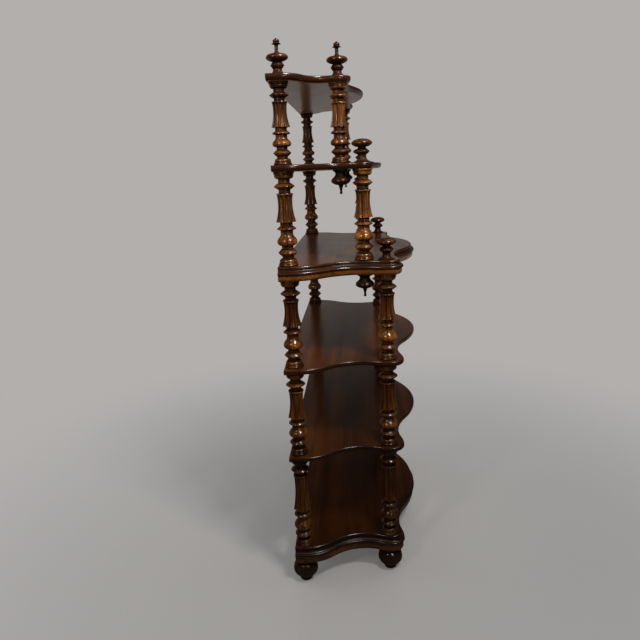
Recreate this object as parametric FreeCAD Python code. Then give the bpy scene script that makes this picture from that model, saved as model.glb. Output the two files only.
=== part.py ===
import FreeCAD, Part
import math
import os

# A serpentine display shelf (etagere) of six shelves on turned, fluted posts, in millimetres.
# +X runs along the shelves, -Y is the bowed front, +Z is up, and the origin is on the floor
# under the middle of the whole piece, whose back feet stand out behind the shelves. Left is -X.
# Every turned piece that carries another ends in a tenon, which passes through the shelf above
# and into a bore in the next turned piece, so the whole shelf comes apart storey by storey.

# Overall plan of the four lower shelves
LENGTH = 858.0
DEPTH = 386.0

# Heights of the shelves and of the storeys between them, from the bottom
BASE_FRIEZE = 24.0
BASE_BOARD = 29.0
UPPER_FRIEZE = 15.0
UPPER_BOARD = 24.0
PLAIN_BOARD = 16.0
STOREY_HEIGHTS = [280.0, 244.0, 240.0, 237.0, 193.0]

# Back posts: axis to the end edge and to the back edge of every shelf
BACK_POST_TO_END = 37.0
BACK_POST_TO_BACK = 26.0

# Front posts of the lower three storeys, the fourth and the fifth: how far they stand in from
# the back posts along the shelf, and forward of them
LOWER_POST_IN = 55.0
LOWER_POST_FORWARD = 257.0
MIDDLE_POST_IN = 64.0
MIDDLE_POST_FORWARD = 198.0
TOP_POST_IN = 74.0
TOP_POST_FORWARD = 141.0

# Serpentine edge: the round lobe in front of each front post, the waist cut into the end
# behind it, the dip beside it and the bow in the middle of the front
LOWER_LOBE_RADIUS = 36.0
MIDDLE_LOBE_RADIUS = 31.0
TOP_LOBE_RADIUS = 33.0
LOWER_LOBE_FORWARD = 9.0
LOWER_WAIST_CUT = 14.0
MIDDLE_WAIST_CUT = 8.0
TOP_WAIST_CUT = 2.0
LOWER_WAIST_BEHIND = 72.0
MIDDLE_WAIST_BEHIND = 50.0
TOP_WAIST_BEHIND = 27.0
DIP_DEPTH = 11.0
DIP_SPAN = 80.0
MIDDLE_BOW = 31.0
TOP_BOW = 34.0
HOLLOW_SHARE = 0.4

# Shelf boards: the lower shelves are glued up from two boards
SEAM_FROM_BACK = 146.0
SEAM_GAP = 0.4

# Edge moulding of the moulded boards, from the bottom: groove, torus, cavetto and lip
GROOVE_INSET = 7.0
GROOVE_HEIGHT = 1.8
TORUS_HEIGHT = 8.0
TORUS_INSET = 3.5
CAVETTO_INSET = 11.0
LIP_INSET = 8.5
LIP_HEIGHT = 6.5
LIP_ROUND = 4.0

# Edge of the plain boards: rounded under, with a narrow flat and an eased top edge
UNDER_ROUND_DEPTH = 12.0
EDGE_FLAT = 3.0
EASED_EDGE = 3.5

# Frieze frame under the moulded boards
FRIEZE_INSET = 4.0
FRIEZE_ROUND = 8.0
END_RAIL_REACH = 110.0
FRONT_RAIL_REACH = 60.0
BACK_RAIL_WIDTH = 66.0

# Posts, from the bottom: base, ring, bulb, ring, fluted vase, lip, ring and collar, with a
# plain neck between each two. The base and the collar each have a wide bead, and a slighter one
# towards the middle of the post. The vase takes up what is left of the storey's height.
NECK_RADIUS = 13.6
NECK_HEIGHTS = [5.4, 7.7, 10.5, 9.2, 9.9]
BASE_RADIUS = 23.0
BASE_BEAD = 5.6
BASE_SLIGHT_RADIUS = 21.6
BASE_SLIGHT_BEAD = 3.6
BASE_DOME = 9.8
DOME_BULGE = 2.4
LOWER_RING_RADIUS = 22.8
LOWER_RING_HEIGHT = 20.0
BULB_RADIUS = 23.6
BULB_NECK_RADIUS = 14.6
BULB_HEIGHTS = [43.0, 38.0, 43.0, 39.5, 29.0]
BULB_BELLY_SHARE = 0.24
BULB_NECK_SHARE = 0.2
MIDDLE_RING_RADIUS = 22.5
MIDDLE_RING_HEIGHT = 10.5
MIDDLE_RING_UNDERSIDE = 0.35
VASE_FOOT_RADIUS = 23.4
VASE_WAIST_RADIUS = 16.6
VASE_TOP_RADIUS = 18.0
VASE_WAIST_RISE = 0.68
VASE_SECTIONS = 8
VASE_LIP_RADIUS = 19.3
VASE_LIP_HEIGHT = 4.6
UPPER_RING_RADIUS = 24.0
UPPER_RING_HEIGHT = 16.5
COLLAR_RADIUS = 24.0
COLLAR_BEAD = 5.4
COLLAR_SLIGHT_RADIUS = 22.2
COLLAR_SLIGHT_BEAD = 3.6
COLLAR_DOME = 8.5
RIM_ROUND = 1.4
RING_BULGE = 0.6
FLUTE_COUNT = 10
FLUTE_DEPTH = 4.2
RIDGE_SHARE = 0.2

# The top storey's posts are slighter: their radii and their fixed heights, against the others
TOP_POST_GIRTH = 0.9
TOP_POST_RISE = 0.83

# Tenon joints
TENON_RADIUS = 7.0
TENON_FIT = 0.2
TENON_END_GAP = 1.5
POST_BITE = 20.0
FINIAL_BITE = 9.0

# Finials and caps, from the bottom: a flared base, a ring and a mushroom between short necks.
# A finial goes on with a stem, a flanged knob and a tip.
FLARE_RADIUS = 22.0
FLARE_EDGE = 1.8
SPINDLE_NECK_RADIUS = 10.8
MUSHROOM_RADIUS = 26.8
MUSHROOM_FOOT_RADIUS = 13.0
FINIAL_FLARE = 10.2
FINIAL_RING_RADIUS = 16.8
FINIAL_RING_HEIGHT = 15.6
FINIAL_NECK = 1.6
FINIAL_UNDERSIDE = 7.3
FINIAL_DOME = 8.6
FINIAL_DOME_RADIUS = 15.0
FINIAL_SHOULDER = 8.0
STEM_RADIUS = 4.4
STEM_HEIGHT = 9.5
KNOB_RADIUS = 11.0
KNOB_FLANGE = 4.4
KNOB_SLOPE = 3.0
KNOB_NECK_RADIUS = 6.6
KNOB_BEAD_RADIUS = 8.0
KNOB_BEAD = 6.0
TIP_HEIGHT = 4.4
CAP_FLARE = 12.2
CAP_RING_RADIUS = 20.0
CAP_RING_HEIGHT = 15.5
CAP_NECK = 4.2
CAP_UNDERSIDE = 8.3
CAP_DOME = 11.8
SLACK_PULL = 0.4

# Pendants, from the top: flange, cove, bell, underside, stem and ball
PENDANT_FLANGE_RADIUS = 20.5
PENDANT_FLANGE = 5.0
PENDANT_NECK_RADIUS = 14.0
PENDANT_COVE = 6.0
PENDANT_BELL_RADIUS = 25.5
PENDANT_BELL = 19.0
PENDANT_UNDERSIDE = 10.0
PENDANT_STEM_RADIUS = 6.8
PENDANT_STEM = 17.0
PENDANT_BALL_RADIUS = 3.9
PENDANT_TIP_RADIUS = 2.7
PENDANT_STEM_HOLLOW = 0.8

# Feet, from the floor: pad, lower and upper half of the bun, and neck
FOOT_PAD_RADIUS = 19.0
FOOT_PAD_HEIGHT = 10.0
BUN_RADIUS = 36.5
BUN_LOWER = 22.0
BUN_UPPER = 28.0
FOOT_NECK_RADIUS = 24.0
FOOT_NECK = 8.0
BUN_PULL = 0.3

HALF_LENGTH = LENGTH / 2
FOOT_OVERHANG = max(0.0, BUN_RADIUS - BACK_POST_TO_BACK)
BACK_Y = (DEPTH - FOOT_OVERHANG) / 2
FRONT_Y = BACK_Y - DEPTH
BACK_POST_X = HALF_LENGTH - BACK_POST_TO_END
BACK_POST_Y = BACK_Y - BACK_POST_TO_BACK
BORE_RADIUS = TENON_RADIUS + TENON_FIT
CUT_MARGIN = 6.0
QUARTER_PULL = 0.5523
EVEN_SHARE = 0.5
SAME_POINT = 1e-6
SIDES = {"left": -1, "right": 1}


class Profile:
    """A chain of lines and quarter curves in two coordinates, placed in space by a function."""

    def __init__(self, start, place):
        self.start = start
        self.at = start
        self.place = place
        self.edges = []

    def _curve(self, first_pole, second_pole, end):
        poles = [self.place(*p) for p in (self.at, first_pole, second_pole, end)]
        curve = Part.BezierCurve()
        curve.setPoles(poles)
        self.edges.append(curve.toShape())
        self.at = end
        return self

    def line(self, a, b):
        """A straight stretch to (a, b)."""
        if math.dist(self.at, (a, b)) > SAME_POINT:
            self.edges.append(Part.makeLine(self.place(*self.at), self.place(a, b)))
        self.at = (a, b)
        return self

    def across(self, a, b, pull=QUARTER_PULL):
        """A quarter curve that leaves along the first coordinate and arrives along the second."""
        a0, b0 = self.at
        return self._curve((a0 + pull * (a - a0), b0), (a, b - pull * (b - b0)), (a, b))

    def along(self, a, b, pull=QUARTER_PULL):
        """A quarter curve that leaves along the second coordinate and arrives along the first."""
        a0, b0 = self.at
        return self._curve((a0, b0 + pull * (b - b0)), (a - pull * (a - a0), b), (a, b))

    def swell(self, a, b):
        """An ogee that leaves and arrives along the second coordinate."""
        a0, b0 = self.at
        middle = (b0 + b) / 2
        return self._curve((a0, middle), (a, middle), (a, b))

    def arc(self, a, b, bulge):
        """A circular arc that stands out by bulge on the right of the way to (a, b)."""
        a0, b0 = self.at
        span = math.dist(self.at, (a, b))
        crown = ((a0 + a) / 2 + bulge * (b - b0) / span, (b0 + b) / 2 - bulge * (a - a0) / span)
        points = [self.place(*p) for p in (self.at, crown, (a, b))]
        self.edges.append(Part.Arc(*points).toShape())
        self.at = (a, b)
        return self

    def face(self):
        """The closed face that the chain bounds."""
        self.line(*self.start)
        return Part.Face(Part.Wire(self.edges))


class Turning(Profile):
    """A lathe-turned piece: radius against height, drawn from the bottom up."""

    def __init__(self, height):
        super().__init__((0.0, height), lambda r, z: FreeCAD.Vector(r, 0, z))

    def rise(self, height):
        """A straight cylindrical stretch of that height."""
        return self.line(self.at[0], self.at[1] + height)

    def step(self, radius):
        """A flat shoulder in or out to radius."""
        return self.line(radius, self.at[1])

    def bead(self, radius, height):
        """A half-round bead that stands out to radius and comes back."""
        r, z = self.at
        self.across(radius, z + height / 2)
        return self.along(r, z + height)

    def ring(self, rim_radius, height, girth=1.0, underside=EVEN_SHARE):
        """A full ring that swells out to a rounded rim and comes back; underside is the part below it."""
        r, z = self.at
        rim, bulge = RIM_ROUND * girth, RING_BULGE * girth
        middle = z + height * underside
        self.arc(rim_radius - rim, middle - rim, bulge)
        self.arc(rim_radius - rim, middle + rim, rim)
        return self.arc(r, z + height, bulge)

    def tenon(self, length):
        """A shoulder at the present height, and a tenon of that length above it."""
        z = self.at[1]
        self.line(TENON_RADIUS, z)
        self.line(TENON_RADIUS, z + length)
        return self.line(0, z + length)

    def solid(self):
        """The turned solid, on the Z axis."""
        return self.face().revolve(FreeCAD.Vector(0, 0, 0), FreeCAD.Vector(0, 0, 1), 360)


def bored(bite):
    """A turned piece that starts at height 0 with the bore for a tenon that reaches in by bite."""
    piece = Turning(bite + TENON_END_GAP)
    piece.step(BORE_RADIUS)
    return piece.line(BORE_RADIUS, 0)


class ShelfPlan:
    """The serpentine outline of a shelf, set by its front posts."""

    def __init__(self, post_in, post_forward, lobe_radius, lobe_forward, waist_cut, waist_behind, crest_y):
        self.post = (BACK_POST_X - post_in, BACK_POST_Y - post_forward)
        post_x, post_y = self.post
        lobe_x, lobe_y = -post_x, post_y - lobe_forward
        lobe_side = lobe_x - lobe_radius
        lobe_front = lobe_y - lobe_radius
        waist = (lobe_side + waist_cut, post_y + waist_behind)
        self.dip_y = lobe_front + DIP_DEPTH
        dip = (lobe_x + DIP_SPAN, self.dip_y)
        self.end_line = ((-HALF_LENGTH, BACK_Y), (-HALF_LENGTH, BACK_POST_Y))
        self.arcs = [
            *ogee(self.end_line[1], waist, (0, -1)),
            *ogee(waist, (lobe_side, lobe_y), (0, -1)),
            ((lobe_x, lobe_y), lobe_radius, 180, 270, True),
            *ogee((lobe_x, lobe_front), dip, (1, 0)),
            *ogee(dip, (0, crest_y), (1, 0), HOLLOW_SHARE),
        ]

    def edge(self, inset, run_out=0.0):
        """The moulded edge from the back left corner round the front to the back right corner.

        inset moves it in from the outline, and run_out carries its two ends past the back."""
        x = HALF_LENGTH - inset
        back, front = BACK_Y + run_out, self.end_line[1][1]
        right = [arc_edge(arc, inset, mirror=True) for arc in reversed(self.arcs)]
        return [
            Part.makeLine(FreeCAD.Vector(-x, back, 0), FreeCAD.Vector(-x, front, 0)),
            *[arc_edge(arc, inset) for arc in self.arcs],
            *right,
            Part.makeLine(FreeCAD.Vector(x, front, 0), FreeCAD.Vector(x, back, 0)),
        ]

    def blank(self, thickness):
        """A flat plate at height 0 that stands out past the edge, with a straight back."""
        x = HALF_LENGTH + CUT_MARGIN
        back = Part.makeLine(FreeCAD.Vector(x, BACK_Y, 0), FreeCAD.Vector(-x, BACK_Y, 0))
        face = Part.Face(Part.Wire([*self.edge(-CUT_MARGIN), back]))
        return face.extrude(FreeCAD.Vector(0, 0, thickness))


def ogee(start, end, heading, share=EVEN_SHARE):
    """Two tangent arcs from start to end, which leaves and arrives along heading.

    share is the first arc's part of the run. Each arc is (centre, radius, from, to, convex), with
    angles in degrees, and is convex where its centre lies inside the shelf."""
    run = (end[0] - start[0]) * heading[0] + (end[1] - start[1]) * heading[1]
    left = (-heading[1], heading[0])
    shift = (end[0] - start[0]) * left[0] + (end[1] - start[1]) * left[1]
    turn = 2 * math.atan2(abs(shift), run)
    radii = [part * run / math.sin(turn) for part in (share, 1 - share)]
    side = 1 if shift > 0 else -1
    facing = math.degrees(math.atan2(-side * left[1], -side * left[0]))
    sweep = side * math.degrees(turn)
    first_centre = [s + side * radii[0] * n for s, n in zip(start, left)]
    second_centre = [e - side * radii[1] * n for e, n in zip(end, left)]
    return [
        (first_centre, radii[0], facing, facing + sweep, side > 0),
        (second_centre, radii[1], facing + 180 + sweep, facing + 180, side < 0),
    ]


def arc_edge(arc, inset, mirror=False):
    """The edge of an arc of the outline, moved in by inset, on the left or mirrored to the right."""
    (x, y), radius, start, end, convex = arc
    radius = radius - inset if convex else radius + inset
    angles = [math.radians(a) for a in (start, (start + end) / 2, end)]
    points = [FreeCAD.Vector(x + radius * math.cos(a), y + radius * math.sin(a), 0) for a in angles]
    if mirror:
        points = [FreeCAD.Vector(-p.x, p.y, p.z) for p in reversed(points)]
    return Part.Arc(*points).toShape()


def shelf_plans():
    """The outlines of the lower four shelves, the fifth and the top one."""

    def crest(post_forward, lobe_radius, bow):
        return BACK_POST_Y - post_forward - lobe_radius - bow

    lower = ShelfPlan(
        LOWER_POST_IN, LOWER_POST_FORWARD, LOWER_LOBE_RADIUS, LOWER_LOBE_FORWARD,
        LOWER_WAIST_CUT, LOWER_WAIST_BEHIND, FRONT_Y,
    )
    middle = ShelfPlan(
        MIDDLE_POST_IN, MIDDLE_POST_FORWARD, MIDDLE_LOBE_RADIUS, 0.0,
        MIDDLE_WAIST_CUT, MIDDLE_WAIST_BEHIND, crest(MIDDLE_POST_FORWARD, MIDDLE_LOBE_RADIUS, MIDDLE_BOW),
    )
    top = ShelfPlan(
        TOP_POST_IN, TOP_POST_FORWARD, TOP_LOBE_RADIUS, 0.0,
        TOP_WAIST_CUT, TOP_WAIST_BEHIND, crest(TOP_POST_FORWARD, TOP_LOBE_RADIUS, TOP_BOW),
    )
    return lower, middle, top


class Tier:
    """One shelf: its outline, its levels and the front posts that meet it."""

    def __init__(self, number, bottom, frieze, board, seamed, plan, posts_above):
        self.number = number
        self.bottom = bottom
        self.frieze = frieze
        self.board = board
        self.seamed = seamed
        self.plan = plan
        self.posts_above = posts_above
        self.board_bottom = bottom + frieze
        self.top = self.board_bottom + board

    def thickness(self):
        """The height that a tenon passes through."""
        return self.frieze + self.board

    def holes(self):
        """The places of the tenon holes on the right half."""
        places = [(BACK_POST_X, BACK_POST_Y), self.plan.post]
        if self.posts_above != self.plan.post:
            places.append(self.posts_above)
        return places


def tiers():
    """The six shelves, from the bottom."""
    lower, middle, top = shelf_plans()
    rows = [
        (BASE_FRIEZE, BASE_BOARD, True, lower, lower.post),
        (0.0, PLAIN_BOARD, True, lower, lower.post),
        (0.0, PLAIN_BOARD, True, lower, lower.post),
        (UPPER_FRIEZE, UPPER_BOARD, True, lower, middle.post),
        (0.0, PLAIN_BOARD, False, middle, top.post),
        (0.0, PLAIN_BOARD, False, top, top.post),
    ]
    made = []
    bottom = FOOT_PAD_HEIGHT + BUN_LOWER + BUN_UPPER + FOOT_NECK
    for number, row in enumerate(rows, 1):
        made.append(Tier(number, bottom, *row))
        if number <= len(STOREY_HEIGHTS):
            bottom = made[-1].top + STOREY_HEIGHTS[number - 1]
    return made


class EdgeSection(Profile):
    """The section of a moulded edge: inset against height, drawn from the bottom of a board up."""

    def __init__(self, inset):
        super().__init__((-2 * CUT_MARGIN, -CUT_MARGIN), self.at_left_end)
        self.line(inset, -CUT_MARGIN)
        self.line(inset, 0)

    @staticmethod
    def at_left_end(inset, height):
        """The place of a point of the section where the edge starts, past the back left corner."""
        return FreeCAD.Vector(-HALF_LENGTH + inset, BACK_Y + CUT_MARGIN, height)

    def cutter(self, plan):
        """What is cut away outside the section, carried round the edge of a shelf."""
        inset, height = self.at
        self.line(inset, height + CUT_MARGIN)
        self.line(self.start[0], height + CUT_MARGIN)
        sweep = Part.BRepOffsetAPI.MakePipeShell(Part.Wire(plan.edge(0, run_out=CUT_MARGIN)))
        sweep.setBiNormalMode(FreeCAD.Vector(0, 0, 1))
        sweep.add(self.face().OuterWire)
        sweep.build()
        sweep.makeSolid()
        return sweep.shape()


def moulded_section(thickness):
    """Groove, torus, cavetto and lip."""
    section = EdgeSection(GROOVE_INSET)
    section.line(GROOVE_INSET, GROOVE_HEIGHT)
    section.line(TORUS_INSET, GROOVE_HEIGHT)
    section.across(0, GROOVE_HEIGHT + TORUS_HEIGHT / 2)
    section.along(TORUS_INSET, GROOVE_HEIGHT + TORUS_HEIGHT)
    section.across(CAVETTO_INSET, thickness - LIP_HEIGHT)
    section.line(LIP_INSET, thickness - LIP_HEIGHT)
    section.line(LIP_INSET, thickness - LIP_ROUND)
    return section.along(LIP_INSET + LIP_ROUND, thickness)


def plain_section(thickness):
    """A large round underneath, a narrow flat and an eased top edge."""
    section = EdgeSection(UNDER_ROUND_DEPTH)
    section.across(0, thickness - EASED_EDGE - EDGE_FLAT)
    section.line(0, thickness - EASED_EDGE)
    return section.along(EASED_EDGE, thickness)


def frieze_section(height):
    """An upright face, rounded underneath."""
    section = EdgeSection(FRIEZE_INSET + FRIEZE_ROUND)
    section.across(FRIEZE_INSET, FRIEZE_ROUND)
    return section.line(FRIEZE_INSET, height)


def edged_plate(tier, section, bottom, thickness):
    """A plate of a shelf's outline with that edge, lying at the height bottom, with its tenon holes."""
    plate = tier.plan.blank(thickness).cut(section.cutter(tier.plan))
    plate.translate(FreeCAD.Vector(0, 0, bottom))
    return drilled(plate, tier)


def drilled(shape, tier):
    """The shape with the tenon holes of its shelf, on both sides."""
    depth = tier.thickness() + 2 * CUT_MARGIN
    for x, y in tier.holes():
        for side in SIDES.values():
            foot = FreeCAD.Vector(side * x, y, tier.bottom - CUT_MARGIN)
            shape = shape.cut(Part.makeCylinder(BORE_RADIUS, depth, foot))
    return shape


def block(x_range, y_range, tier):
    """A block over that part of a shelf, for splitting it into its boards or rails."""
    size = (x_range[1] - x_range[0], y_range[1] - y_range[0], tier.thickness() + 2 * CUT_MARGIN)
    return Part.makeBox(*size, FreeCAD.Vector(x_range[0], y_range[0], tier.bottom - CUT_MARGIN))


def shelf_boards(tier):
    """The boards of a shelf by name: two for the deep lower shelves, one for the upper two."""
    section = moulded_section(tier.board) if tier.frieze else plain_section(tier.board)
    board = edged_plate(tier, section, tier.board_bottom, tier.board)
    name = f"shelf_{tier.number}"
    if not tier.seamed:
        return {name: board}
    seam = BACK_Y - SEAM_FROM_BACK
    x_range = (-LENGTH, LENGTH)
    return {
        f"{name}_back_board": board.common(block(x_range, (seam + SEAM_GAP / 2, DEPTH), tier)),
        f"{name}_front_board": board.common(block(x_range, (-DEPTH, seam - SEAM_GAP / 2), tier)),
    }


def frieze_rails(tier):
    """The four rails of the frieze frame under a moulded board, by name."""
    frame = edged_plate(tier, frieze_section(tier.frieze), tier.bottom, tier.frieze)
    inner_x = BACK_POST_X - END_RAIL_REACH
    back_y = BACK_Y - BACK_RAIL_WIDTH
    front_y = tier.plan.dip_y + FRONT_RAIL_REACH
    name = f"frieze_{tier.number}"
    return {
        f"{name}_back_rail": frame.common(block((-LENGTH, LENGTH), (back_y, DEPTH), tier)),
        f"{name}_front_rail": frame.common(block((-inner_x, inner_x), (-DEPTH, front_y), tier)),
        f"{name}_left_rail": frame.common(block((-LENGTH, -inner_x), (-DEPTH, back_y), tier)),
        f"{name}_right_rail": frame.common(block((inner_x, LENGTH), (-DEPTH, back_y), tier)),
    }


def fluted_section(radius, height):
    """A round section with hollow flutes and narrow ridges between them."""
    pitch = 2 * math.pi / FLUTE_COUNT
    ridge = RIDGE_SHARE * pitch / 2
    depth = FLUTE_DEPTH * radius / VASE_FOOT_RADIUS

    def point(angle, r):
        return FreeCAD.Vector(r * math.cos(angle), r * math.sin(angle), height)

    edges = []
    for n in range(FLUTE_COUNT):
        start, end = n * pitch + ridge, (n + 1) * pitch - ridge
        flute = (point(start, radius), point((start + end) / 2, radius - depth), point(end, radius))
        crown = (point(end, radius), point(end + ridge, radius), point(end + 2 * ridge, radius))
        edges.append(Part.Arc(*flute).toShape())
        edges.append(Part.Arc(*crown).toShape())
    return Part.Wire(edges)


def fluted_vase(foot, height, girth):
    """The fluted, bell-shaped length of a post, standing at the height foot."""
    sections = []
    for n in range(VASE_SECTIONS):
        rise = n / (VASE_SECTIONS - 1)
        if rise < VASE_WAIST_RISE:
            wide, reach = VASE_FOOT_RADIUS, 1 - rise / VASE_WAIST_RISE
        else:
            wide, reach = VASE_TOP_RADIUS, (rise - VASE_WAIST_RISE) / (1 - VASE_WAIST_RISE)
        radius = VASE_WAIST_RADIUS + (wide - VASE_WAIST_RADIUS) * reach ** 2
        sections.append(fluted_section(radius * girth, foot + rise * height))
    return Part.makeLoft(sections, True, False)


def post(length, bulb, tenon, girth, rise):
    """A turned post of that length between its shoulders, standing at height 0.

    girth and rise are the sizes of its radii and of its fixed heights against the full ones."""
    neck, bulb_neck, eased = NECK_RADIUS * girth, BULB_NECK_RADIUS * girth, RIM_ROUND * girth
    necks = [height * rise for height in NECK_HEIGHTS]

    lower = bored(POST_BITE)
    lower.step(BASE_RADIUS * girth - eased)
    lower.bead(BASE_RADIUS * girth, BASE_BEAD * rise)
    lower.step(BASE_SLIGHT_RADIUS * girth - eased)
    lower.bead(BASE_SLIGHT_RADIUS * girth, BASE_SLIGHT_BEAD * rise)
    lower.arc(neck + eased, lower.at[1] + BASE_DOME * rise, DOME_BULGE * girth)
    lower.step(neck)
    lower.rise(necks[0])
    lower.ring(LOWER_RING_RADIUS * girth, LOWER_RING_HEIGHT * rise, girth)
    lower.rise(necks[1])
    bulb_top = lower.at[1] + bulb
    lower.across(BULB_RADIUS * girth, lower.at[1] + bulb * BULB_BELLY_SHARE)
    lower.swell(bulb_neck, bulb_top - bulb * BULB_NECK_SHARE)
    lower.line(bulb_neck, bulb_top)
    lower.ring(MIDDLE_RING_RADIUS * girth, MIDDLE_RING_HEIGHT * rise, girth, MIDDLE_RING_UNDERSIDE)
    lower.rise(necks[2])
    vase_foot = lower.at[1]
    lower.step(0)

    heights = [VASE_LIP_HEIGHT, UPPER_RING_HEIGHT, COLLAR_DOME, COLLAR_SLIGHT_BEAD, COLLAR_BEAD]
    vase_top = length - sum(heights) * rise - necks[3] - necks[4]
    upper = Turning(vase_top)
    upper.step(VASE_LIP_RADIUS * girth - eased)
    upper.bead(VASE_LIP_RADIUS * girth, VASE_LIP_HEIGHT * rise)
    upper.step(neck)
    upper.rise(necks[3])
    upper.ring(UPPER_RING_RADIUS * girth, UPPER_RING_HEIGHT * rise, girth)
    upper.rise(necks[4])
    upper.step(neck + eased)
    upper.across(COLLAR_SLIGHT_RADIUS * girth, upper.at[1] + COLLAR_DOME * rise)
    upper.step(COLLAR_SLIGHT_RADIUS * girth - eased)
    upper.bead(COLLAR_SLIGHT_RADIUS * girth, COLLAR_SLIGHT_BEAD * rise)
    upper.step(COLLAR_RADIUS * girth - eased)
    upper.bead(COLLAR_RADIUS * girth, COLLAR_BEAD * rise)
    upper.tenon(tenon)
    vase = fluted_vase(vase_foot, vase_top - vase_foot, girth)
    return lower.solid().fuse([vase, upper.solid()]).removeSplitter()


def mushroom(flare, neck, ring_radius, ring_height, underside):
    """The start of a finial or cap: a bored, flared base, a ring and a mushroom up to its rim."""
    shape = bored(FINIAL_BITE)
    shape.step(FLARE_RADIUS)
    shape.rise(FLARE_EDGE)
    shape.across(SPINDLE_NECK_RADIUS, FLARE_EDGE + flare)
    shape.rise(neck)
    shape.ring(ring_radius, ring_height)
    shape.rise(neck)
    shape.step(MUSHROOM_FOOT_RADIUS)
    return shape.across(MUSHROOM_RADIUS, shape.at[1] + underside, SLACK_PULL)


def finial():
    """A tall finial, whose mushroom is drawn up into a thin stem with a pointed knob."""
    shape = mushroom(FINIAL_FLARE, FINIAL_NECK, FINIAL_RING_RADIUS, FINIAL_RING_HEIGHT, FINIAL_UNDERSIDE)
    shape.along(FINIAL_DOME_RADIUS, shape.at[1] + FINIAL_DOME)
    shape.across(STEM_RADIUS, shape.at[1] + FINIAL_SHOULDER)
    shape.rise(STEM_HEIGHT)
    shape.along(KNOB_RADIUS, shape.at[1] + KNOB_FLANGE)
    shape.line(KNOB_NECK_RADIUS, shape.at[1] + KNOB_SLOPE)
    shape.bead(KNOB_BEAD_RADIUS, KNOB_BEAD)
    shape.line(0, shape.at[1] + TIP_HEIGHT)
    return shape.solid()


def cap():
    """A low cap over the end of a front post, whose mushroom ends in a dome."""
    shape = mushroom(CAP_FLARE, CAP_NECK, CAP_RING_RADIUS, CAP_RING_HEIGHT, CAP_UNDERSIDE)
    shape.along(0, shape.at[1] + CAP_DOME)
    return shape.solid()


def pendant(tenon):
    """A drop under the foot of a front post, hanging from height 0 by its tenon."""
    flange_bottom = -PENDANT_FLANGE
    neck = flange_bottom - PENDANT_COVE
    bell = neck - PENDANT_BELL
    underside = bell - PENDANT_UNDERSIDE
    ball_top = underside - PENDANT_STEM
    tip_rise = math.sqrt(PENDANT_BALL_RADIUS ** 2 - PENDANT_TIP_RADIUS ** 2)
    shape = Turning(ball_top - tip_rise - PENDANT_BALL_RADIUS)
    shape.across(PENDANT_BALL_RADIUS, ball_top - tip_rise)
    shape.along(PENDANT_TIP_RADIUS, ball_top)
    shape.arc(PENDANT_STEM_RADIUS, underside, -PENDANT_STEM_HOLLOW)
    shape.across(PENDANT_BELL_RADIUS, bell, SLACK_PULL)
    shape.swell(PENDANT_NECK_RADIUS, neck)
    shape.along(PENDANT_FLANGE_RADIUS - RIM_ROUND, flange_bottom)
    shape.bead(PENDANT_FLANGE_RADIUS, PENDANT_FLANGE)
    shape.tenon(tenon)
    return shape.solid()


def foot(tenon):
    """A turnip-shaped bun foot on a small round pad, with a tenon above its neck."""
    shape = Turning(0)
    shape.step(FOOT_PAD_RADIUS - RIM_ROUND)
    shape.bead(FOOT_PAD_RADIUS, FOOT_PAD_HEIGHT)
    shape.across(BUN_RADIUS, shape.at[1] + BUN_LOWER, BUN_PULL)
    shape.along(FOOT_NECK_RADIUS, shape.at[1] + BUN_UPPER)
    shape.rise(FOOT_NECK)
    shape.tenon(tenon)
    return shape.solid()


def placed(shape, x, y, z):
    """A copy of a turned piece with its axis at (x, y) and its own height 0 at z."""
    copy = shape.copy()
    copy.translate(FreeCAD.Vector(x, y, z))
    return copy


def posts(shelves):
    """The posts of the five storeys, by name."""
    pieces = {}
    for storey, (below, above) in enumerate(zip(shelves, shelves[1:]), 1):
        is_top = above is shelves[-1]
        front_stops = is_top or above.posts_above != below.posts_above
        rows = {
            "back": ((BACK_POST_X, BACK_POST_Y), FINIAL_BITE if is_top else POST_BITE),
            "front": (below.posts_above, FINIAL_BITE if front_stops else POST_BITE),
        }
        slightness = (TOP_POST_GIRTH, TOP_POST_RISE) if is_top else (1.0, 1.0)
        for row, ((x, y), bite) in rows.items():
            height = above.bottom - below.top
            shape = post(height, BULB_HEIGHTS[storey - 1], above.thickness() + bite, *slightness)
            for name, side in SIDES.items():
                pieces[f"post_{storey}_{row}_{name}"] = placed(shape, side * x, y, below.top)
    return pieces


def ornaments(shelves):
    """The feet, finials, caps and pendants, by name."""
    bottom, top = shelves[0], shelves[-1]
    back = (BACK_POST_X, BACK_POST_Y)
    spots = {}
    for row, place in {"back": back, "front": bottom.plan.post}.items():
        spots[f"foot_{row}"] = (foot(bottom.thickness() + POST_BITE), place, 0)
    for row, place in {"back": back, "front": top.plan.post}.items():
        spots[f"finial_{row}"] = (finial(), place, top.top)
    for tier in shelves:
        if tier.posts_above != tier.plan.post:
            drop = pendant(tier.thickness() + POST_BITE)
            spots[f"cap_{tier.number}"] = (cap(), tier.plan.post, tier.top)
            spots[f"pendant_{tier.number}"] = (drop, tier.posts_above, tier.bottom)
    return {
        f"{piece}_{name}": placed(shape, side * x, y, z)
        for piece, (shape, (x, y), z) in spots.items()
        for name, side in SIDES.items()
    }


def main():
    """Builds every piece and writes one file for each."""
    shelves = tiers()
    pieces = posts(shelves) | ornaments(shelves)
    for tier in shelves:
        pieces.update(shelf_boards(tier))
        if tier.frieze:
            pieces.update(frieze_rails(tier))
    os.makedirs("parts", exist_ok=True)
    for name, shape in sorted(pieces.items()):
        shape.exportStep(f"parts/{name}.step")
        print(f"{name}: {len(shape.Solids)} solid, {shape.Volume / 1000:.1f} cm3, valid {shape.isValid()}")


main()
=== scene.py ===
import math

import bpy
import numpy as np
from mathutils import Matrix, Vector


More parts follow.
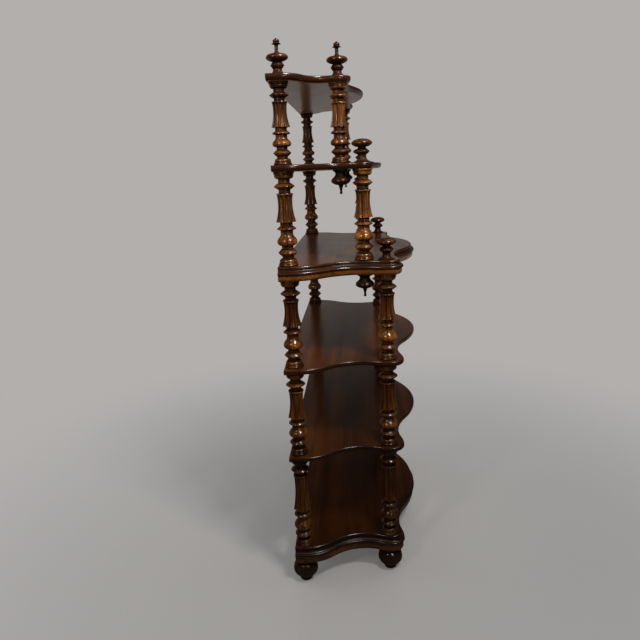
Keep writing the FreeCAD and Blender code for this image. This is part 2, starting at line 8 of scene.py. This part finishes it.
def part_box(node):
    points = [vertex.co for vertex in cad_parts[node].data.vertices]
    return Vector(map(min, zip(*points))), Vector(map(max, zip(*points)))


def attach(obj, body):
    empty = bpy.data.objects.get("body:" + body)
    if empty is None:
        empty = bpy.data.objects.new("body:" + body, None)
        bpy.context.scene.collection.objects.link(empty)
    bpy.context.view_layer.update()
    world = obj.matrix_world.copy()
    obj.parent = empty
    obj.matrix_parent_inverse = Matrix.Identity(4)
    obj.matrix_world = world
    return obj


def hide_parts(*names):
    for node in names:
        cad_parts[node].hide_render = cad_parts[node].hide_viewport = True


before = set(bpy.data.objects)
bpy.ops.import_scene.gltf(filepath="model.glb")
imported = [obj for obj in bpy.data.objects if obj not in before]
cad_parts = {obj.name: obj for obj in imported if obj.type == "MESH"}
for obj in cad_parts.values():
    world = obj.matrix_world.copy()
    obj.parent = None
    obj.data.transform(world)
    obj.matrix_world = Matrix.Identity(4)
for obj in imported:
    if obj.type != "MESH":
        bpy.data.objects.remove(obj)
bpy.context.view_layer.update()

# A serpentine display shelf in polished dark walnut, in metres. +X runs along the shelves, -Y is
# the bowed front and +Z is up. The camera looks at the left end, from -X.

# Camera: its place, the way it looks, and its focal length in pixels of a 640 pixel wide picture
PICTURE_WIDTH = 640
FOCAL_PIXELS = 561.49
CENTRE_PIXEL_X = 321
SENSOR_MM = 36.0
NEAREST_SEEN = 0.05
CAMERA_PLACE = Vector((-1.83975, -0.02346, 1.18791))
CAMERA_YAW = math.radians(4.232)
CAMERA_PITCH = math.radians(14.735)
CAMERA_ROLL = math.radians(-2.518)

# Colours, in linear values
FLOOR_COLOUR = (0.42, 0.42, 0.425, 1)
FLOOR_IN_POLISH = (0.06, 0.055, 0.05, 1)
BACKDROP_COLOUR = (0.445, 0.43, 0.42, 1)
AMBIENT_COLOUR = (1.0, 0.97, 0.94, 1)
# The boards' undersides: paler, partly as bare wood and partly as painted light
UNDERSIDE_WOOD_AND_PAINTED_LIGHT = (0.36, 0.185, 0.072, 1)
# Painted shade on the boards' upright edges
UPRIGHT_EDGE_SHADE = (0.021, 0.0062, 0.0018, 1)
# Painted shade, with old polish, for the hollows and the places where pieces meet
PAINTED_SHADE_AND_OLD_POLISH = (0.0080, 0.0028, 0.0009, 1)
RAIL_TONES = [(0.045, 0.0145, 0.0028, 1), (0.115, 0.039, 0.0070, 1), (0.26, 0.098, 0.016, 1)]

# The woods. tones are the dark, middle and light colours, and contrast is how far the figure reaches
# towards the outer two. grain is the axis of the fibres, streak the length and width of a streak, side
# the painted shade on upright edges, and shine the strength of the reflections. meets says that the
# painted shade and old polish of the hollows also lie where the piece meets others.
WOODS = {
    "turned_walnut": {
        "tones": [(0.028, 0.0075, 0.0014, 1), (0.088, 0.0264, 0.0046, 1), (0.26, 0.090, 0.0100, 1)],
        "grain": "Z", "streak": (0.12, 0.010), "contrast": 1.6, "roughness": 0.15, "meets": True},
    "ornament_walnut": {
        "tones": [(0.014, 0.004, 0.0010, 1), (0.042, 0.0138, 0.0029, 1), (0.110, 0.040, 0.0075, 1)],
        "grain": "Z", "streak": (0.12, 0.008), "contrast": 1.2, "roughness": 0.2, "shine": 0.3,
        "meets": True},
    # The pendants' tones are darker, partly as a darker wood and partly as painted shade under the shelves
    "pendant_walnut": {
        "tones": [(0.006, 0.0018, 0.0006, 1), (0.013, 0.0043, 0.0012, 1), (0.030, 0.0108, 0.0024, 1)],
        "grain": "Z", "streak": (0.12, 0.008), "contrast": 1.2, "roughness": 0.24, "shine": 0.2},
    "back_board_walnut": {
        "tones": [(0.018, 0.0050, 0.0012, 1), (0.062, 0.0168, 0.0028, 1), (0.135, 0.039, 0.006, 1)],
        "grain": "X", "streak": (0.45, 0.022), "contrast": 1.1, "roughness": 0.22, "side": UPRIGHT_EDGE_SHADE},
    "front_board_walnut": {
        "tones": [(0.014, 0.0041, 0.0011, 1), (0.046, 0.0126, 0.0023, 1), (0.105, 0.031, 0.005, 1)],
        "grain": "X", "streak": (0.45, 0.022), "contrast": 1.1, "roughness": 0.22, "side": UPRIGHT_EDGE_SHADE},
    "long_rail_walnut": {
        "tones": RAIL_TONES, "grain": "X", "streak": (0.6, 0.006), "contrast": 1.4, "roughness": 0.18},
    "end_rail_walnut": {
        "tones": RAIL_TONES, "grain": "Y", "streak": (0.6, 0.006), "contrast": 1.4, "roughness": 0.18},
    "foot_walnut": {
        "tones": [(0.016, 0.0056, 0.0022, 1), (0.034, 0.0124, 0.0040, 1), (0.080, 0.0284, 0.0076, 1)],
        "grain": "Z", "streak": (0.06, 0.008), "contrast": 1.0, "roughness": 0.11},
}
USUAL_SHINE = 0.5

# The figure: the weights of the streaks and of a slow drift of colour, the places of the three tones, and
# the length and width of the drift and of the pores against a streak's
STREAK_WEIGHT = 0.6
DRIFT_WEIGHT = 0.8
TONE_PLACES = (0.2, 0.5, 0.8)
DRIFT_SIZE = (1.5, 6)
PORE_SIZE = (0.15, 0.12)

# Pores, which multiply the colour by a share, at this strength. A ramp is a list of places, each with
# the share that it gives.
PORE_RAMP = [(0.36, 0.55), (0.5, 1.0)]
PORE_STRENGTH = 0.5

# Boards: the share of painted shade by how level the surface is, and the share of the paler underside,
# partly bare wood and partly painted light, where it faces down
EDGE_SHADE_RAMP = [(0.75, 0.8), (0.97, 0.0)]
FACES_DOWN = -0.95
UNDERSIDE_SHARE = 0.75

# Painted shade: the colour is darker near the floor. Between these heights the share of the colour that
# shows rises from the first to the second.
DARKENED = (0.35, 0.80)
DARK_SHARES = (0.45, 1.05)

# Hollows: how far away a surface still closes one, how open a place counts as by its occlusion, and the
# share of its shine that the polish keeps there and the roughness that it gains
HOLLOW_REACH = 0.025
HOLLOW_SAMPLES = 8
OPEN_RAMP = [(0.62, 0.0), (1.0, 1.0)]
GRIME_SHINE = 0.15
GRIME_ROUGHNESS = 0.3

# Rubbed edges: their radius, the bend of the surface that counts as one, and the scuffs that rub them
EDGE_RADIUS = 0.0015
EDGE_SAMPLES = 4
EDGE_RAMP = [(0.01, 0.0), (0.12, 1.0)]
SCUFF_SIZE = 0.02
SCUFF_RAMP = [(0.42, 0.0), (0.62, 0.3)]

# The polish: dull patches, and a bump of long waves and pores
PATCH_SIZE = 0.06
PATCH_MEAN = 0.5
PATCH_ROUGHNESS = 0.12
WAVE_SIZE = (0.08, 0.02)
PORE_HEIGHT = 0.12
BUMP_STRENGTH = 0.35
BUMP_HEIGHT = 0.0003

# The photograph's posts are fuller than their solids, as was measured. Each post is shown as a copy of
# its solid, whose surface stands this many times as far from its axis. What lies within TENON_REACH of
# the axis, the tenon and the bore, keeps its size.
POST_FULLNESS = 1.11
TENON_REACH = 0.0085

# The surroundings. Their light falls mostly from above. In the polish they show as pale walls low
# beyond the far end and the back, and as a dim room elsewhere. Each has the way it is turned to, the
# shares of that way between which it brightens, and its brightness at both.
SKY = ((0.15, 0.1, 1.0), (-0.2, 1.0), (0.03, 0.27))
WALLS = ((0.8, 0.45, -0.9), (0.36, 0.70), (0.012, 0.25))

# The floor runs into the backdrop between these distances from the shelf. NEAR_SHARE of the backdrop
# is in it from the start. In the polish only the floor beyond the far end turns pale, by MIRRORED_SHARE.
FLOOR_REACH = 12.0
FLOOR_ROUGHNESS = 0.6
FLOOR_FADE = (0.4, 1.9)
NEAR_SHARE = 0.2
MIRRORED_SHARE = 0.42

# Square lamps: the place, the point that they are turned to, the side, the power in watts, and the
# angle over which the light spreads, in degrees
LAMPS = {
    "key": {"place": (-1.25, -0.75, 2.45), "aim": (-0.3, 0, 1.5), "size": 0.4, "power": 12,
            "colour": (1.0, 0.94, 0.86), "spread": 90},
    "fill": {"place": (-1.85, 0.95, 1.95), "aim": (-0.3, 0, 1.4), "size": 0.25, "power": 3.8,
             "colour": (1.0, 0.95, 0.89), "spread": 90},
    "window": {"place": (-1.9, -0.7, 1.2), "aim": (-0.3, 0, 1.1), "size": 0.3, "power": 1.6,
               "colour": (1.0, 0.97, 0.93), "spread": 120},
    "overhead": {"place": (0.2, -1.0, 3.2), "aim": (0, 0, 0.7), "size": 1.8, "power": 10},
}

# Light thrown back by pale walls, which the polish doesn't mirror
BOUNCES = {
    "back_wall": {"place": (0.2, 2.5, 1.8), "aim": (0, 0, 1.0), "size": 2.0, "power": 20},
    "far_wall": {"place": (2.7, 0.1, 1.8), "aim": (0, 0, 1.0), "size": 2.0, "power": 23},
    "room": {"place": (0.8, -2.7, 1.8), "aim": (0, 0, 1.0), "size": 2.0, "power": 8},
}

# Blender's mix node has sockets for numbers and for colours under the same names. These are their places:
# the share and two colours, the mixed colour, and the two numbers.
COLOUR_MIX_INPUTS = (0, 6, 7)
COLOUR_MIX_OUTPUT = 2
NUMBER_MIX_INPUTS = (2, 3)


class Shader:
    """A node material under construction."""

    def __init__(self, name):
        self.material = bpy.data.materials.new(name)
        self.material.use_nodes = True
        self.tree = self.material.node_tree
        self.surface = self.tree.nodes["Principled BSDF"]

    def add(self, kind, inputs=None, **settings):
        """A new node, with its settings and its inputs, which are values or other sockets."""
        node = self.tree.nodes.new(kind)
        for key, value in settings.items():
            setattr(node, key, value)
        for key, value in (inputs or {}).items():
            self.feed(node.inputs[key], value)
        return node

    def feed(self, socket, value):
        """Sets an input to a value, or links it to another node's output."""
        if isinstance(value, bpy.types.NodeSocket):
            self.tree.links.new(value, socket)
        else:
            socket.default_value = value

    def math(self, operation, first, second=0.0, third=0.0, clamp=False):
        """The result of a sum on one, two or three numbers."""
        terms = {0: first, 1: second, 2: third}
        return self.add("ShaderNodeMath", terms, operation=operation, use_clamp=clamp).outputs[0]

    def mix(self, share, first, second, blend="MIX"):
        """Two colours mixed by share."""
        node = self.add("ShaderNodeMix", data_type="RGBA", blend_type=blend, clamp_factor=True)
        for number, value in zip(COLOUR_MIX_INPUTS, (share, first, second)):
            self.feed(node.inputs[number], value)
        return node.outputs[COLOUR_MIX_OUTPUT]

    def ramp(self, value, stops):
        """A colour ramp over value, from pairs of a place and a colour or a grey."""
        node = self.add("ShaderNodeValToRGB", {"Fac": value})
        elements = node.color_ramp.elements
        while len(elements) < len(stops):
            elements.new(0.5)
        for element, (place, colour) in zip(elements, stops):
            element.position = place
            element.color = colour if isinstance(colour, tuple) else (colour, colour, colour, 1)
        return node.outputs["Color"]

    def noise(self, place, stretch, detail, roughness=0.55, distortion=0.0):
        """Noise whose grains measure stretch, in metres along X, Y and Z."""
        scaled = self.add("ShaderNodeMapping", {"Vector": place})
        scaled.inputs["Scale"].default_value = [1 / length for length in stretch]
        settings = {"Vector": scaled.outputs[0], "Scale": 1.0, "Detail": detail,
                    "Roughness": roughness, "Distortion": distortion}
        return self.add("ShaderNodeTexNoise", settings).outputs["Fac"]

    def part(self, vector, axis):
        """One of the three numbers of a vector."""
        return self.add("ShaderNodeSeparateXYZ", {0: vector}).outputs[axis]


def along(grain, length, width):
    """The size of a grain of noise that is long along the fibres."""
    return [length if axis == grain else width for axis in "XYZ"]


def figured(shader, place, pores, tones, grain, streak, contrast):
    """The colour of bare wood: streaks and a slow drift between its tones, darker in the pores."""
    length, width = streak
    drift_grain = along(grain, length * DRIFT_SIZE[0], width * DRIFT_SIZE[1])
    drift = shader.noise(place, drift_grain, detail=2.0)
    streaks = shader.noise(place, along(grain, length, width), detail=3.0, distortion=0.3)
    figure = shader.math(
        "ADD", shader.math("MULTIPLY", streaks, STREAK_WEIGHT), shader.math("MULTIPLY", drift, DRIFT_WEIGHT))
    mean = (STREAK_WEIGHT + DRIFT_WEIGHT) / 2
    figure = shader.math("MULTIPLY", shader.math("SUBTRACT", figure, mean), contrast)
    tone = shader.math("ADD", figure, TONE_PLACES[1])
    colour = shader.ramp(tone, list(zip(TONE_PLACES, tones)))
    return shader.mix(PORE_STRENGTH, colour, shader.ramp(pores, PORE_RAMP), "MULTIPLY")


def painted_board_light(shader, colour, normal, side):
    """The colour of a board, with painted shade on its upright edges, and its underside paler, partly as
    bare wood and partly as painted light.
    """
    tilt = shader.part(normal, "Z")
    upright = shader.ramp(shader.math("ABSOLUTE", tilt), EDGE_SHADE_RAMP)
    colour = shader.mix(upright, colour, side)
    under = shader.math("LESS_THAN", tilt, FACES_DOWN)
    # The underside is paler, partly as bare wood and partly as painted light
    return shader.mix(shader.math("MULTIPLY", under, UNDERSIDE_SHARE), colour, UNDERSIDE_WOOD_AND_PAINTED_LIGHT)


def painted_low_shade(shader, colour, place):
    """The colour with painted shade: darker near the floor, and a little lighter high up."""
    share = shader.add("ShaderNodeMapRange", {
        "Value": shader.part(place, "Z"), "From Min": DARKENED[0], "From Max": DARKENED[1],
        "To Min": DARK_SHARES[0], "To Max": DARK_SHARES[1]}).outputs[0]
    return shader.mix(1.0, colour, share, "MULTIPLY")


def rubbed(shader, colour, normal, place, open_share, light):
    """The colour with its open edges rubbed to light here and there."""
    rounded = shader.add("ShaderNodeBevel", {"Radius": EDGE_RADIUS}, samples=EDGE_SAMPLES)
    bend = shader.add("ShaderNodeVectorMath", {0: rounded.outputs[0], 1: normal}, operation="DOT_PRODUCT")
    edge = shader.ramp(shader.math("SUBTRACT", 1.0, bend.outputs["Value"]), EDGE_RAMP)
    scuffs = shader.ramp(shader.noise(place, [SCUFF_SIZE] * 3, detail=3.0), SCUFF_RAMP)
    share = shader.math("MULTIPLY", shader.math("MULTIPLY", edge, scuffs), open_share)
    return shader.mix(share, colour, light)


def polish(shader, place, pores, grain, open_share, roughness, shine):
    """The gloss: dull in patches, dull and weak in hollows, with a bump of waves and pores."""
    patches = shader.noise(place, [PATCH_SIZE] * 3, detail=3.0)
    dull = shader.math("MULTIPLY", shader.math("SUBTRACT", patches, PATCH_MEAN), PATCH_ROUGHNESS)
    grime = shader.math("MULTIPLY", shader.math("SUBTRACT", 1.0, open_share), GRIME_ROUGHNESS)
    rough = shader.math("ADD", shader.math("ADD", dull, grime), roughness, clamp=True)
    shader.feed(shader.surface.inputs["Roughness"], rough)
    shiny = shader.math("MULTIPLY_ADD", open_share, shine * (1 - GRIME_SHINE), shine * GRIME_SHINE)
    shader.feed(shader.surface.inputs["Specular IOR Level"], shiny)
    waves = shader.noise(place, along(grain, *WAVE_SIZE), detail=1.0)
    height = shader.math("ADD", waves, shader.math("MULTIPLY", pores, PORE_HEIGHT))
    bump = shader.add("ShaderNodeBump", {
        "Strength": BUMP_STRENGTH, "Distance": BUMP_HEIGHT, "Height": height})
    shader.feed(shader.surface.inputs["Normal"], bump.outputs[0])


def polished_wood(name, tones, grain, streak, contrast, roughness,
                  side=None, shine=USUAL_SHINE, meets=False):
    """One of the WOODS as a material."""
    shader = Shader(name)
    place = shader.add("ShaderNodeTexCoord").outputs["Object"]
    normal = shader.add("ShaderNodeNewGeometry").outputs["Normal"]
    length, width = streak
    pore_grain = along(grain, length * PORE_SIZE[0], width * PORE_SIZE[1])
    pores = shader.noise(place, pore_grain, detail=2.0, roughness=0.7)
    hollow = shader.add("ShaderNodeAmbientOcclusion", {"Distance": HOLLOW_REACH},
                        samples=HOLLOW_SAMPLES, only_local=not meets)
    open_share = shader.ramp(hollow.outputs["AO"], OPEN_RAMP)

    colour = figured(shader, place, pores, tones, grain, streak, contrast)
    # Painted shade on upright edges, and an underside that is paler partly as painted light
    if side:
        colour = painted_board_light(shader, colour, normal, side)
    # Painted shade: darker towards the floor
    colour = painted_low_shade(shader, colour, place)
    # Painted shade, with old polish, darkens the hollows, and with meets also the places where pieces meet
    colour = shader.mix(open_share, PAINTED_SHADE_AND_OLD_POLISH, colour)
    colour = rubbed(shader, colour, normal, place, open_share, tones[-1])
    shader.feed(shader.surface.inputs["Base Color"], colour)
    polish(shader, place, pores, grain, open_share, roughness, shine)
    return shader.material


def fuller_post(name, node):
    """A wider copy of a post's solid, which stands for it."""
    mesh = node.data.copy()
    places = np.empty(len(mesh.vertices) * 3, np.float32)
    mesh.vertices.foreach_get("co", places)
    places = places.reshape(-1, 3)
    low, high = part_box(name)
    axis = np.array(((low.x + high.x) / 2, (low.y + high.y) / 2), np.float32)
    outward = places[:, :2] - axis
    surface = np.hypot(outward[:, 0], outward[:, 1]) > TENON_REACH
    places[surface, :2] = axis + outward[surface] * POST_FULLNESS
    mesh.vertices.foreach_set("co", places.ravel())
    mesh.update()
    piece = bpy.data.objects.new(f"full_{name}", mesh)
    bpy.context.scene.collection.objects.link(piece)
    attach(piece, "root")
    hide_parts(name)
    return piece


def wood_of(name):
    """The name of the wood that a node is made of."""
    kind = name.split("_")[0]
    if kind == "shelf":
        return "back_board_walnut" if name.endswith("back_board") else "front_board_walnut"
    if kind == "frieze":
        return "end_rail_walnut" if name.endswith(("left_rail", "right_rail")) else "long_rail_walnut"
    turned = {"foot": "foot_walnut", "post": "turned_walnut", "pendant": "pendant_walnut"}
    return turned.get(kind, "ornament_walnut")


def dress():
    """Gives every piece of the shelf its wood, and shows each post as its fuller copy."""
    woods = {name: polished_wood(name, **looks) for name, looks in WOODS.items()}
    for name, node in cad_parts.items():
        node.data.shade_smooth()
        shown = fuller_post(name, node) if name.startswith("post_") else node
        shown.material_slots[0].link = "OBJECT"
        shown.material_slots[0].material = woods[wood_of(name)]


def camera():
    """The camera, at the photographed view."""
    ahead = Vector((math.cos(CAMERA_YAW), math.sin(CAMERA_YAW), 0))
    right = Vector((math.sin(CAMERA_YAW), -math.cos(CAMERA_YAW), 0))
    up = Vector((0, 0, 1))
    look = ahead * math.cos(CAMERA_PITCH) - up * math.sin(CAMERA_PITCH)
    above = up * math.cos(CAMERA_PITCH) + ahead * math.sin(CAMERA_PITCH)
    side = right * math.cos(CAMERA_ROLL) + above * math.sin(CAMERA_ROLL)
    above = above * math.cos(CAMERA_ROLL) - right * math.sin(CAMERA_ROLL)
    data = bpy.data.cameras.new("photo_view")
    data.sensor_width = SENSOR_MM
    data.lens = FOCAL_PIXELS * SENSOR_MM / PICTURE_WIDTH
    data.shift_x = (PICTURE_WIDTH / 2 - CENTRE_PIXEL_X) / PICTURE_WIDTH
    data.clip_start = NEAREST_SEEN
    item = bpy.data.objects.new("photo_view", data)
    bpy.context.scene.collection.objects.link(item)
    turn = Matrix((side, above, -look)).transposed().to_4x4()
    item.matrix_world = Matrix.Translation(CAMERA_PLACE) @ turn
    bpy.context.scene.camera = item


def floor_paint():
    """Pale matt paint that runs into the backdrop away from the shelf."""
    shader = Shader("floor")
    rays = shader.add("ShaderNodeLightPath")
    paint = shader.mix(rays.outputs["Is Glossy Ray"], FLOOR_COLOUR, FLOOR_IN_POLISH)
    shader.feed(shader.surface.inputs["Base Color"], paint)
    shader.surface.inputs["Roughness"].default_value = FLOOR_ROUGHNESS
    place = shader.add("ShaderNodeTexCoord").outputs["Object"]
    away = shader.add("ShaderNodeVectorMath", {0: place}, operation="LENGTH").outputs["Value"]
    beyond = shader.part(place, "X")
    fade, far_fade = [shader.add("ShaderNodeMapRange", {
        "Value": distance, "From Min": FLOOR_FADE[0], "From Max": FLOOR_FADE[1]},
        interpolation_type="SMOOTHSTEP").outputs[0] for distance in (away, beyond)]
    direct = shader.math("MULTIPLY_ADD", fade, 1 - NEAR_SHARE, NEAR_SHARE)
    direct = shader.math("MULTIPLY", direct, rays.outputs["Is Camera Ray"])
    mirrored = shader.math("MULTIPLY", far_fade, MIRRORED_SHARE)
    mirrored = shader.math("MULTIPLY", mirrored, rays.outputs["Is Glossy Ray"])
    backdrop = shader.add("ShaderNodeEmission", {"Color": BACKDROP_COLOUR})
    both = shader.add("ShaderNodeMixShader", {
        0: shader.math("ADD", direct, mirrored), 1: shader.surface.outputs[0], 2: backdrop.outputs[0]})
    shader.feed(shader.tree.nodes["Material Output"].inputs["Surface"], both.outputs[0])
    return shader.material


def floor():
    """A wide pale floor."""
    mesh = bpy.data.meshes.new("floor")
    turns = ((-1, -1), (1, -1), (1, 1), (-1, 1))
    corners = [(FLOOR_REACH * x, FLOOR_REACH * y, 0) for x, y in turns]
    mesh.from_pydata(corners, [], [(0, 1, 2, 3)])
    mesh.materials.append(floor_paint())
    item = bpy.data.objects.new("floor", mesh)
    bpy.context.scene.collection.objects.link(item)


def surroundings():
    """The backdrop that the camera sees, the walls that the polish mirrors, and the light of the sky."""
    world = bpy.data.worlds.new("studio")
    world.use_nodes = True
    bpy.context.scene.world = world
    nodes, links = world.node_tree.nodes, world.node_tree.links
    rays = nodes.new("ShaderNodeLightPath")
    way = nodes.new("ShaderNodeTexCoord").outputs["Generated"]
    strength = nodes.new("ShaderNodeMix")
    links.new(rays.outputs["Is Glossy Ray"], strength.inputs[0])
    for number, (towards, reach, brightness) in zip(NUMBER_MIX_INPUTS, (SKY, WALLS)):
        heading = nodes.new("ShaderNodeVectorMath")
        heading.operation = "DOT_PRODUCT"
        heading.inputs[1].default_value = towards
        links.new(way, heading.inputs[0])
        level = nodes.new("ShaderNodeMapRange")
        level.inputs["From Min"].default_value, level.inputs["From Max"].default_value = reach
        level.inputs["To Min"].default_value, level.inputs["To Max"].default_value = brightness
        links.new(heading.outputs["Value"], level.inputs["Value"])
        links.new(level.outputs[0], strength.inputs[number])
    ambient = nodes["Background"]
    ambient.inputs["Color"].default_value = AMBIENT_COLOUR
    links.new(strength.outputs[0], ambient.inputs["Strength"])
    backdrop = nodes.new("ShaderNodeBackground")
    backdrop.inputs["Color"].default_value = BACKDROP_COLOUR
    chosen = nodes.new("ShaderNodeMixShader")
    links.new(rays.outputs["Is Camera Ray"], chosen.inputs[0])
    links.new(ambient.outputs[0], chosen.inputs[1])
    links.new(backdrop.outputs[0], chosen.inputs[2])
    links.new(chosen.outputs[0], nodes["World Output"].inputs["Surface"])


def softbox(name, place, aim, size, power, colour=(1, 1, 1), spread=180):
    """A square studio lamp at place, turned to aim, whose light spreads over that angle."""
    data = bpy.data.lights.new(name, "AREA")
    data.energy = power
    data.size = size
    data.spread = math.radians(spread)
    data.color = colour
    item = bpy.data.objects.new(name, data)
    item.location = place
    item.visible_camera = False
    item.rotation_euler = (Vector(aim) - Vector(place)).to_track_quat("-Z", "Y").to_euler()
    bpy.context.scene.collection.objects.link(item)
    return item


def lamps():
    """The lamps, and the light that comes back from the walls."""
    for name, settings in LAMPS.items():
        softbox(name, **settings)
    for name, settings in BOUNCES.items():
        softbox(name, **settings).visible_glossy = False


dress()
camera()
floor()
surroundings()
lamps()
bpy.context.scene.view_settings.view_transform = "Standard"
